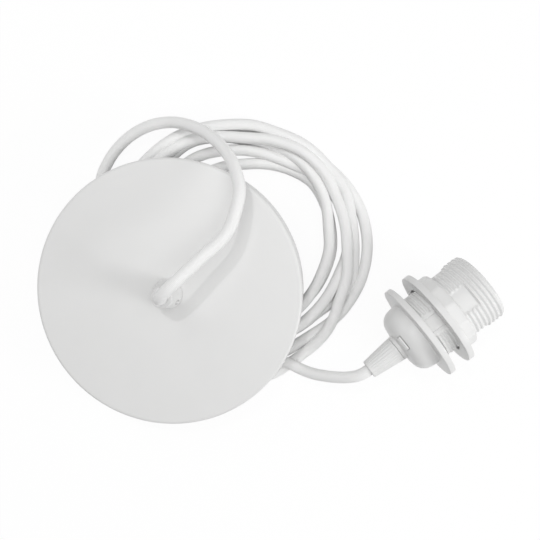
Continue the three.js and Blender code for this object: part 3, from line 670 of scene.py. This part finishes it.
def domed_cap():
    """The dome with its neck, collar and rear flange, and the latch's window."""
    ceiling = DOME_START + DOME_WALL
    recess = FLANGE_FRONT - SEAT_RECESS
    inner = dome_curve(NECK_BORE + 1.5, SOCKET_BORE, ceiling, SKIRT_START - 0.3, 8)
    profile = rounded(
        [
            (NECK_BORE, NECK_START), (NECK_RADIUS, NECK_START), (NECK_RADIUS, COLLAR_START),
            (COLLAR_RADIUS, COLLAR_START, 0.35), (COLLAR_RADIUS, DOME_START, 0.2),
            *dome_curve(COLLAR_RADIUS + 0.4, DOME_RADIUS, DOME_START, FLANGE_BACK - 0.5, 30)[:-1],
            (DOME_RADIUS, FLANGE_BACK, 0.45), (RIM_RADIUS, FLANGE_BACK, 0.4),
            (RIM_RADIUS, FLANGE_FRONT, 0.4), (FLANGE_BORE, FLANGE_FRONT, 0.1),
            (BARREL_RADIUS, recess), (SOCKET_BORE, recess, 0.1),
            *inner[::-1], (NECK_BORE, ceiling),
        ]
    )
    piece = turned("domed_cap", profile, even_turns(180), holder, FINISHES["white_plastic"])
    half = LATCH_WIDTH / 2
    opening = block(
        (LATCH_FLOOR, -half, LATCH_SPAN[0]), (DOME_RADIUS + 2, half, LATCH_SPAN[1]), holder
    )
    carve(piece, opening)
    return piece


def threaded_barrel():
    """The barrel: its thread is broken into sectors, and runs full only near the mouth."""
    phase = radians(THREAD_PHASE)
    full_start = BARREL_END - MOUTH_PLAIN - THREAD_PITCH * THREAD_FULL_TURNS
    thread_start = BARREL_START + THREAD_START_GAP
    panel_angle = np.arcsin(PANEL_WIDTH / 2 / BARREL_RADIUS)
    arc = radians(THREAD_ARC)
    sector = 2 * pi / THREAD_SECTORS

    def surface(turn, radius, height):
        if radius < BARREL_RADIUS or height < BARREL_START:
            return radius
        turns = (height - full_start) / THREAD_PITCH - (turn - phase) / (2 * pi)
        crest = THREAD_MEAN + THREAD_SWING * cos(2 * pi * turns)
        inside = arc / 2 - abs((turn % sector) - sector / 2)
        broken = ramp(inside / radians(THREAD_SECTOR_RAMP) + 0.5)
        full = ramp((height - full_start) / THREAD_FULL_RAMP + 1)
        start = ramp((height - thread_start) / THREAD_START_RAMP)
        r = BARREL_RADIUS + (THREAD_RADIUS - BARREL_RADIUS) * crest * max(broken, full) * start
        if height < PANEL_END and abs(r * sin(turn)) < PANEL_WIDTH / 2:
            return (BARREL_RADIUS - PANEL_DEPTH) / abs(cos(turn))
        return min(r, BARREL_RADIUS - MOUTH_INSET + BARREL_END - height)

    outside = [
        (BARREL_RADIUS, BARREL_START + (BARREL_END - BARREL_START) * i / BARREL_ROWS)
        for i in range(BARREL_ROWS + 1)
    ]
    profile = rounded(
        [
            (SEAT_BORE, SKIRT_START), (SKIRT_RADIUS, SKIRT_START), (SKIRT_RADIUS, BARREL_START),
            *outside, (BARREL_BORE + 1, BARREL_END, 0.3), (BARREL_BORE, BARREL_END - 1, 0.3),
            (BARREL_BORE, SEAT), (SEAT_BORE, SEAT),
        ]
    )
    turns = set(even_turns(BARREL_COLUMNS))
    for side in (0, pi):
        for edge in (-1, 1):
            for nudge in (-PANEL_EDGE, PANEL_EDGE):
                turns.add((side + edge * panel_angle + nudge) % (2 * pi))
    place = holder @ Matrix.Rotation(radians(THREAD_TURN), 4, "Z")
    return turned(
        "threaded_barrel", profile, sorted(turns), place, FINISHES["white_plastic"], surface
    )


def clamping_ring():
    """The shade ring: a flange in one with a collar that has flats around it."""
    collar = RING_COLLAR_RADIUS
    profile = rounded(
        [
            (RING_BORE, RING_BACK, 0.3), (RIM_RADIUS, RING_BACK, 0.4),
            (RIM_RADIUS, RING_FRONT, 0.4), (collar, RING_FRONT, 0.15),
            (collar, RING_END - RING_CHAMFER, 0.4), (collar - RING_CHAMFER, RING_END, 0.2),
            (RING_BORE, RING_END, 0.2),
        ]
    )
    flat = 2 * pi / RING_FLATS

    def flats(turn, radius, height):
        if height < RING_FRONT or not RING_BORE + 0.3 < radius < collar + 0.2:
            return radius
        off = (turn + radians(RING_FLATS_TURN)) % flat - flat / 2
        return min(radius, (collar + RING_FLATS_RISE) * cos(flat / 2) / cos(off))

    return turned(
        "clamping_ring", profile, even_turns(240), holder, FINISHES["white_plastic"], flats
    )


holder = holder_frame()
settle(rose_shell(), "rose_cup", "set")
settle(rose_grip(), "rose_cord_grip", "set")
settle(grip_nut(), "holder_cord_grip", "set")
settle(domed_cap(), "holder_cap", "set")
settle(threaded_barrel(), "holder_barrel", "set", angle=62)
settle(clamping_ring(), "shade_ring", "ring", angle=20)

# ---- studio ----

FLOOR_SIZE = 6.0
FLOOR_LEVEL = -0.0002
FLOOR_TONE = 0.70
FLOOR_WHITENESS = 0.93
WORLD_STRENGTH = 0.325

# Each lamp's place right and up of the camera's axis in the picture and above the floor, its
# size in metres and its power in watts.
LAMPS = {
    "overhead": ((0.10, 0.00, 1.10), 1.1, 4.8),
    "key": ((-0.20, 0.35, 1.05), 0.035, 1.3),
    "side": ((-0.55, 0.60, 0.62), 0.7, 1.5),
    "fill": ((0.95, -0.35, 0.45), 0.5, 4.8),
}


def in_picture(right, up, height):
    """A point in metres given by its place in the picture, right and up of the camera's axis."""
    a = radians(CAMERA_ROLL)
    return (
        CAMERA_OVER[0] * MM + right * cos(a) - up * sin(a),
        CAMERA_OVER[1] * MM + right * sin(a) + up * cos(a),
        height,
    )


def add_lamp(name, place, size, power):
    """A round soft lamp aimed at the middle of the set."""
    data = bpy.data.lights.new(name, "AREA")
    data.shape = "DISK"
    data.size = size
    data.energy = power
    lamp = bpy.data.objects.new(name, data)
    lamp.location = in_picture(*place)
    lamp.rotation_euler = (-lamp.location).to_track_quat("-Z", "Y").to_euler()
    bpy.context.scene.collection.objects.link(lamp)


def looked_at(tree):
    """1 where the camera looks, also in a mirror or through glass, and 0 for other light."""
    path = add_node(tree, "ShaderNodeLightPath")
    last = path.outputs["Is Camera Ray"]
    for name in ("Is Glossy Ray", "Is Transmission Ray"):
        either = add_node(tree, "ShaderNodeMath", "MAXIMUM")
        tree.links.new(last, either.inputs[0])
        tree.links.new(path.outputs[name], either.inputs[1])
        last = either.outputs[0]
    return last


def add_floor():
    """A pale floor that looks white and keeps a faint shadow of the set."""
    bpy.ops.mesh.primitive_plane_add(size=FLOOR_SIZE, location=(0, 0, FLOOR_LEVEL))
    floor = bpy.context.object
    floor.name = "floor"
    material = new_material("floor", (FLOOR_TONE, FLOOR_TONE, FLOOR_TONE), 0.9)
    tree = material.node_tree
    white = add_node(tree, "ShaderNodeEmission", Strength=1.0)
    shaded = add_node(tree, "ShaderNodeBsdfDiffuse", Color=(1, 1, 1, 1))
    keep = add_node(tree, "ShaderNodeMixShader", Fac=FLOOR_WHITENESS)
    pick = add_node(tree, "ShaderNodeMixShader")
    tree.links.new(shaded.outputs[0], keep.inputs[1])
    tree.links.new(white.outputs[0], keep.inputs[2])
    tree.links.new(looked_at(tree), pick.inputs["Fac"])
    tree.links.new(tree.nodes["Principled BSDF"].outputs[0], pick.inputs[1])
    tree.links.new(keep.outputs[0], pick.inputs[2])
    tree.links.new(pick.outputs[0], tree.nodes["Material Output"].inputs["Surface"])
    floor.data.materials.append(material)


def add_world():
    """An even light that looks white."""
    world = bpy.data.worlds.new("studio")
    world.use_nodes = True
    tree = world.node_tree
    background = tree.nodes["Background"]
    background.inputs["Color"].default_value = (1, 1, 1, 1)
    level = add_node(tree, "ShaderNodeMapRange", To_Min=WORLD_STRENGTH)
    tree.links.new(looked_at(tree), level.inputs["Value"])
    tree.links.new(level.outputs["Result"], background.inputs["Strength"])
    bpy.context.scene.world = world


add_camera()
add_floor()
add_world()
for lamp_name, (lamp_place, lamp_size, lamp_power) in LAMPS.items():
    add_lamp(lamp_name, lamp_place, lamp_size, lamp_power)

bpy.context.scene.view_settings.view_transform = "Standard"
